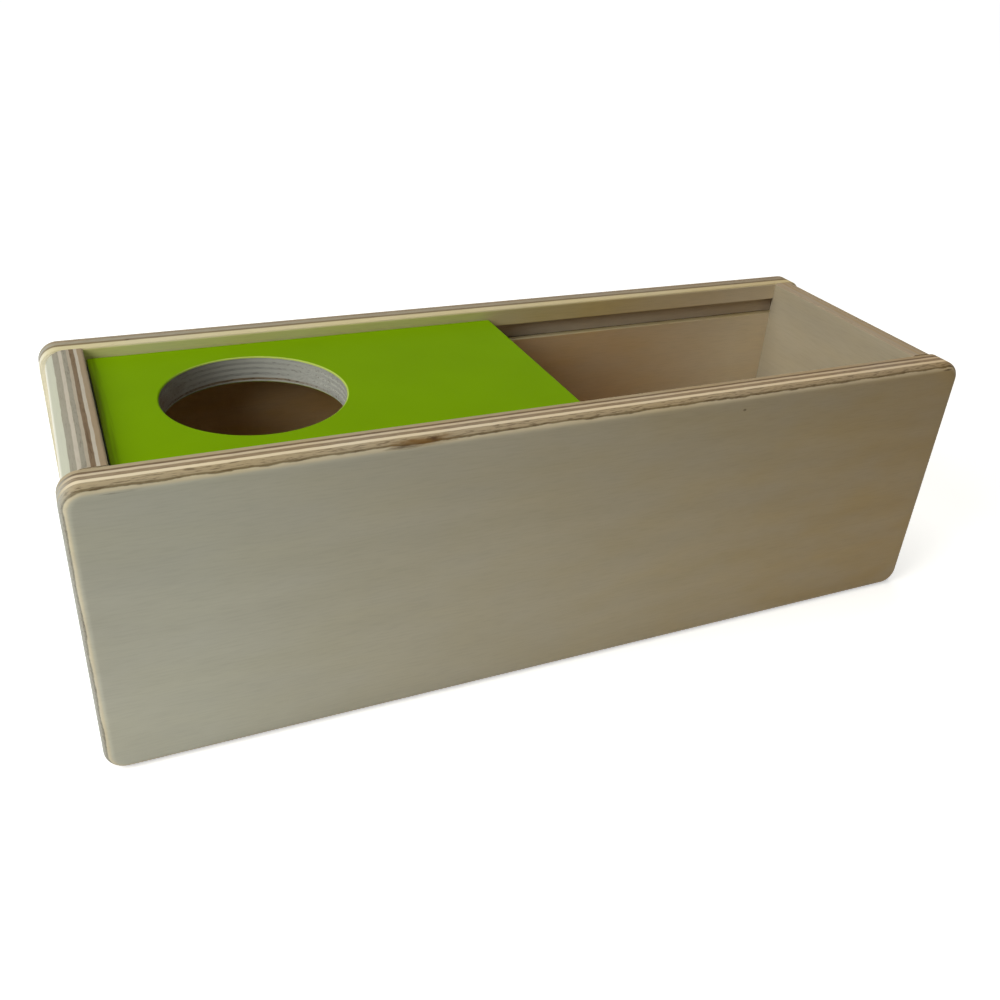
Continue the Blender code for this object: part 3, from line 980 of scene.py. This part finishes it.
class TOYBOX_OT_long_walls(bpy.types.Operator):
    """Model the two long walls, with rounded corners, a rounded outer edge and the lid's groove"""

    bl_idname = "toy_box.long_walls"
    bl_label = "Long walls"

    def execute(self, context):
        sizes = context.scene.toy_box_sizes
        colours = context.scene.toy_box_colours
        looks = {"front": (FRONT_LAYERS, FRONT_MARKS), "back": (BACK_LAYERS, BACK_MARKS)}
        for side, sign in SIDES.items():
            node = f"{side}_side_panel"
            low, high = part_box(node)
            outer = sign * SIDE_OUTER_Y
            inner = sign * SIDE_INNER_Y
            wall = add_block(f"{side}_long_wall", low, high)
            round_edges(
                wall, lambda edge: edge_along(edge, "y"), sizes.corner_radius, sizes.round_steps)
            round_edges(
                wall, lambda edge: edge_at(edge, "y", outer), sizes.round_over, sizes.round_steps)
            round_edges(
                wall, lambda edge: edge_at(edge, "y", inner), sizes.edge_ease, sizes.ease_steps)
            self.cut_lid_groove(wall, inner, sizes)
            cut_floor_groove(wall, sizes)
            drill_peg_holes(wall, sizes, f"_{side}_")
            layers, marks = looks[side]
            material = birch_plywood(
                f"birch plywood {side} wall", AXES["x"], AXES["y"] * -sign,
                Vector((0, outer, 0)), layers, LONG_FACES, colours, marks)
            finish_board(wall, "box", node, material)
        return {"FINISHED"}

    @staticmethod
    def cut_lid_groove(wall, inner, sizes):
        """Cut the groove that the lid's tongue runs in, and ease its lips."""
        gap = sizes.run_gap
        reach_x = END_INNER_X + sizes.groove_overrun
        reach_y = LID_HIGH.y + gap
        low_z = LID_LOW.z - gap
        high_z = LID_LOW.z + sizes.tongue_thickness + gap
        cut_away(wall, add_block(
            "lid groove", Vector((-reach_x, -reach_y, low_z)), Vector((reach_x, reach_y, high_z))))

        def on_lip(edge):
            level = edge_at(edge, "z", low_z) or edge_at(edge, "z", high_z)
            return level and edge_at(edge, "y", inner)

        round_edges(wall, on_lip, sizes.groove_ease, sizes.lip_steps)


class TOYBOX_OT_short_walls(bpy.types.Operator):
    """Model the two short walls, with rounded outer edges"""

    bl_idname = "toy_box.short_walls"
    bl_label = "Short walls"

    def execute(self, context):
        sizes = context.scene.toy_box_sizes
        colours = context.scene.toy_box_colours
        looks = {"left": (LEFT_LAYERS, LEFT_MARKS), "right": (RIGHT_LAYERS, ())}
        for end, sign in ENDS.items():
            node = f"{end}_end_panel"
            low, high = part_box(node)
            outer = sign * END_OUTER_X
            inner = sign * END_INNER_X
            glue_line = Vector((0, SIDE_INNER_Y - high.y - SAME_PLACE, 0))
            wall = add_block(f"{end}_short_wall", low - glue_line, high + glue_line)
            round_edges(
                wall, lambda edge: edge_along(edge, "y") and edge_at(edge, "x", outer),
                sizes.end_rounding, sizes.round_steps)
            round_edges(
                wall, lambda edge: edge_along(edge, "y") and edge_at(edge, "x", inner),
                sizes.edge_ease, sizes.ease_steps)
            cut_floor_groove(wall, sizes)
            drill_peg_holes(wall, sizes, f"_{end}")
            layers, marks = looks[end]
            material = birch_plywood(
                f"birch plywood {end} wall", AXES["y"], AXES["x"] * -sign,
                Vector((outer, 0, 0)), layers, SHORT_FACES, colours, marks)
            finish_board(wall, "box", node, material)
        return {"FINISHED"}


class TOYBOX_OT_floor_board(bpy.types.Operator):
    """Model the thin floor board that the walls house"""

    bl_idname = "toy_box.floor_board"
    bl_label = "Floor board"

    def execute(self, context):
        sizes = context.scene.toy_box_sizes
        board = add_block("floor_board", FLOOR_LOW, FLOOR_HIGH)
        round_edges(board, lambda edge: True, sizes.edge_ease, sizes.ease_steps)
        material = birch_plywood(
            "thin birch plywood floor", AXES["x"], -AXES["z"], Vector((0, 0, FLOOR_HIGH.z)),
            FLOOR_LAYERS, FLOOR_FACES, context.scene.toy_box_colours)
        finish_board(board, "box", "floor_panel", material)
        return {"FINISHED"}


class TOYBOX_OT_lid(bpy.types.Operator):
    """Model the sliding lid, with a tongue along each long edge and a round hole"""

    bl_idname = "toy_box.lid"
    bl_label = "Sliding lid"

    def execute(self, context):
        sizes = context.scene.toy_box_sizes
        half_width = SIDE_INNER_Y - sizes.lid_side_gap
        lid = add_block(
            "green_lid", Vector((LID_LOW.x, -half_width, LID_LOW.z)),
            Vector((LID_HIGH.x, half_width, LID_HIGH.z)))
        self.draw_out_tongues(lid, half_width, sizes)
        round_edges(
            lid, lambda edge: edge.is_convex and edge.calc_face_angle() > SQUARE_EDGE,
            sizes.lid_ease, sizes.ease_steps)
        self.cut_hole(lid, sizes)
        material = painted_plywood(
            "green painted plywood", AXES["x"], -AXES["z"], Vector((0, 0, LID_HIGH.z)),
            LID_LAYERS, LID_FACES, (MM_PER_M * (LID_LOW.x + sizes.hole_from_end), 0.0),
            MM_PER_M * sizes.hole_diameter / 2, context.scene.toy_box_colours)
        finish_board(lid, "lid", "sliding_lid", material)
        return {"FINISHED"}

    @staticmethod
    def draw_out_tongues(lid, half_width, sizes):
        """Pull a tongue out of the lower part of each long edge."""
        tongue_top = LID_LOW.z + sizes.tongue_thickness
        reach = LID_HIGH.y - half_width
        bpy.ops.object.mode_set(mode="EDIT")
        for sign in SIDES.values():
            def on_side(face):
                return face.normal.y * sign > FACES_SIDE

            def on_tongue(face):
                return on_side(face) and face.calc_center_median().z < tongue_top

            select_faces(lid, on_side)
            bpy.ops.mesh.bisect(plane_co=(0, 0, tongue_top), plane_no=AXES["z"])
            select_faces(lid, on_tongue)
            bpy.ops.mesh.extrude_region_move(
                TRANSFORM_OT_translate={"value": (0, sign * reach, 0)})
        bpy.ops.object.mode_set(mode="OBJECT")

    @staticmethod
    def cut_hole(lid, sizes):
        """Cut the round hole and ease both its rims."""
        radius = sizes.hole_diameter / 2
        middle = Vector((LID_LOW.x + sizes.hole_from_end, 0, (LID_LOW.z + LID_HIGH.z) / 2))
        drill(
            lid, middle, radius, LID_HIGH.z - LID_LOW.z + 2 * CUT_MARGIN, sizes.hole_sides,
            UPRIGHT)

        def on_rim(edge):
            level = edge_at(edge, "z", LID_LOW.z) or edge_at(edge, "z", LID_HIGH.z)
            reach = [(vertex.co - middle).xy.length for vertex in edge.verts]
            return level and all(abs(far - radius) < SAME_PLACE for far in reach)

        round_edges(lid, on_rim, sizes.hole_ease, sizes.ease_steps)


class TOYBOX_OT_pegs(bpy.types.Operator):
    """Dress the hidden pegs of the corner joints"""

    bl_idname = "toy_box.pegs"
    bl_label = "Pegs"

    def execute(self, context):
        material = turned_beech("turned beech", context.scene.toy_box_colours)
        for name in PEGS:
            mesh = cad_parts[name].data
            mesh.materials.clear()
            mesh.materials.append(material)
        return {"FINISHED"}


class TOYBOX_OT_studio(bpy.types.Operator):
    """Set up a plain pale studio with soft light, and the camera"""

    bl_idname = "toy_box.studio"
    bl_label = "Studio"

    def execute(self, context):
        studio = context.scene.toy_box_studio
        self.lay_floor(studio)
        self.light_room(context.scene, studio)
        aim = Vector((0, 0, LID_HIGH.z))
        for name, (place, size) in LAMPS.items():
            watts = getattr(studio, f"{name}_power")
            tint = getattr(studio, f"{name}_colour")
            self.hang_lamp(name, place, aim, size, watts, tint)
        self.place_camera(context.scene)
        context.scene.view_settings.view_transform = "Standard"
        return {"FINISHED"}

    @staticmethod
    def lay_floor(studio):
        """Lay the floor that the box stands on."""
        bpy.ops.object.select_all(action="DESELECT")
        bpy.ops.mesh.primitive_plane_add(size=studio.floor_size)
        floor = bpy.context.object
        floor.name = "studio_floor"
        floor.data.materials.append(studio_floor("matt pale floor", studio))

    @staticmethod
    def light_room(scene, studio):
        """Fill the room with soft light, and show it to the camera as white."""
        world = bpy.data.worlds.new("soft room")
        world.use_nodes = True
        scene.world = world
        tree = world.node_tree
        tree.nodes.clear()
        room = add_node(
            tree, "ShaderNodeBackground",
            {"Color": studio.room_colour, "Strength": studio.room_share})
        white = add_node(tree, "ShaderNodeBackground", {"Color": WHITE, "Strength": 1.0})
        both = add_node(
            tree, "ShaderNodeMixShader",
            {0: shows_backdrop(tree), 1: room.outputs[0], 2: white.outputs[0]})
        add_node(tree, "ShaderNodeOutputWorld", {"Surface": both.outputs[0]})

    @staticmethod
    def hang_lamp(name, place, aim, size, watts, tint):
        """Hang one square soft lamp that points at the box."""
        bpy.ops.object.light_add(type="AREA", location=place)
        lamp = bpy.context.object
        lamp.name = name
        lamp.data.shape = "SQUARE"
        lamp.data.size = size
        lamp.data.energy = watts
        lamp.data.color = tint
        lamp.rotation_euler = (aim - lamp.location).to_track_quat("-Z", "Y").to_euler()

    @staticmethod
    def place_camera(scene):
        """Stand the camera where the photograph was taken from."""
        bpy.ops.object.camera_add(location=CAMERA_PLACE)
        camera = bpy.context.object
        level = (CAMERA_AIM - CAMERA_PLACE).to_track_quat("-Z", "Y")
        camera.rotation_euler = (level @ Quaternion((0, 0, 1), CAMERA_ROLL)).to_euler()
        camera.data.sensor_fit = "HORIZONTAL"
        camera.data.sensor_width = CAMERA_SENSOR_MM
        camera.data.lens = CAMERA_LENS_MM
        camera.data.clip_start = CAMERA_NEAR
        scene.camera = camera


class TOYBOX_PT_tools(bpy.types.Panel):
    """Sidebar panel with the box's sizes, colours and steps"""

    bl_idname = "TOYBOX_PT_tools"
    bl_label = "Toy Box"
    bl_space_type = "VIEW_3D"
    bl_region_type = "UI"
    bl_category = "Toy Box"

    def draw(self, context):
        for step in STEPS:
            self.layout.operator(step.bl_idname)
        for settings in (
                context.scene.toy_box_sizes, context.scene.toy_box_colours,
                context.scene.toy_box_studio):
            box = self.layout.box()
            for key in settings.__annotations__:
                box.prop(settings, key)


STEPS = (
    TOYBOX_OT_long_walls,
    TOYBOX_OT_short_walls,
    TOYBOX_OT_floor_board,
    TOYBOX_OT_lid,
    TOYBOX_OT_pegs,
    TOYBOX_OT_studio,
)
CLASSES = (ToyBoxSizes, ToyBoxColours, ToyBoxStudio, *STEPS, TOYBOX_PT_tools)


def register():
    """Register the classes and hang the settings on the scene."""
    for cls in CLASSES:
        bpy.utils.register_class(cls)
    bpy.types.Scene.toy_box_sizes = PointerProperty(type=ToyBoxSizes)
    bpy.types.Scene.toy_box_colours = PointerProperty(type=ToyBoxColours)
    bpy.types.Scene.toy_box_studio = PointerProperty(type=ToyBoxStudio)


def unregister():
    """Take the settings and the classes away again."""
    del bpy.types.Scene.toy_box_studio
    del bpy.types.Scene.toy_box_colours
    del bpy.types.Scene.toy_box_sizes
    for cls in reversed(CLASSES):
        bpy.utils.unregister_class(cls)


def main():
    """Build the box and its studio."""
    register()
    bpy.ops.toy_box.long_walls()
    bpy.ops.toy_box.short_walls()
    bpy.ops.toy_box.floor_board()
    bpy.ops.toy_box.lid()
    bpy.ops.toy_box.pegs()
    bpy.ops.toy_box.studio()


if __name__ == "__main__":
    main()
